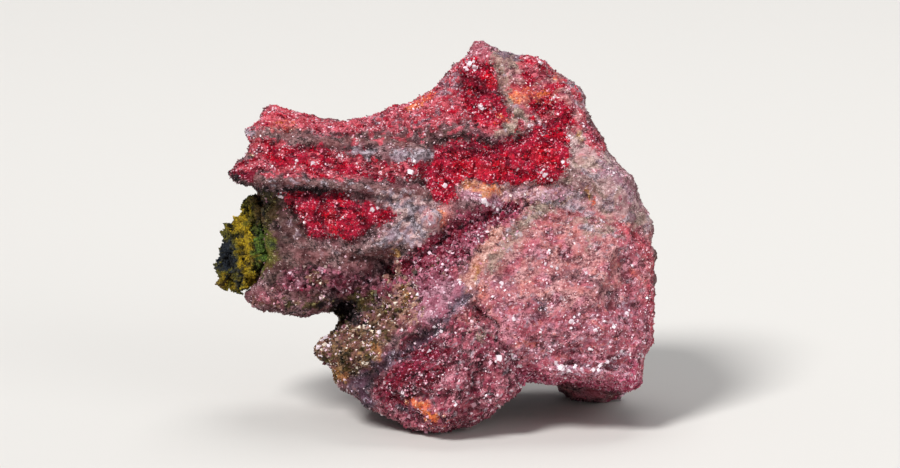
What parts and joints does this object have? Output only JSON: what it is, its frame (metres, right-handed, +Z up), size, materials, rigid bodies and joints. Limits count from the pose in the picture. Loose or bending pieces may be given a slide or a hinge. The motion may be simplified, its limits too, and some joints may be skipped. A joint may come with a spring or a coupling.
{
  "type": "cuprite mineral specimen",
  "caption": "Hand specimen of copper ore with hollows lined by deep red cuprite crystals and a green and yellow crust, standing on its own feet.",
  "frame": {"origin": "on the surface it stands on, under the middle of its bounding box", "axes": "+X across the crystal-bearing face to its right, +Y from that face to the back, +Z up"},
  "size_m": [0.0514, 0.033, 0.0434],
  "materials": {
    "matrix_rock": "rough broken ore dusted with fine pink and red crystals",
    "red_druse": "glittering crust of small deep red cuprite crystals",
    "green_crust": "dull powdery copper bloom in yellow, olive and green"
  },
  "bodies": {
    "root": {"matrix_rock": "matrix_rock", "upper_red_druse": "red_druse", "left_red_druse": "red_druse", "green_crust": "green_crust"}
  },
  "joints": []
}
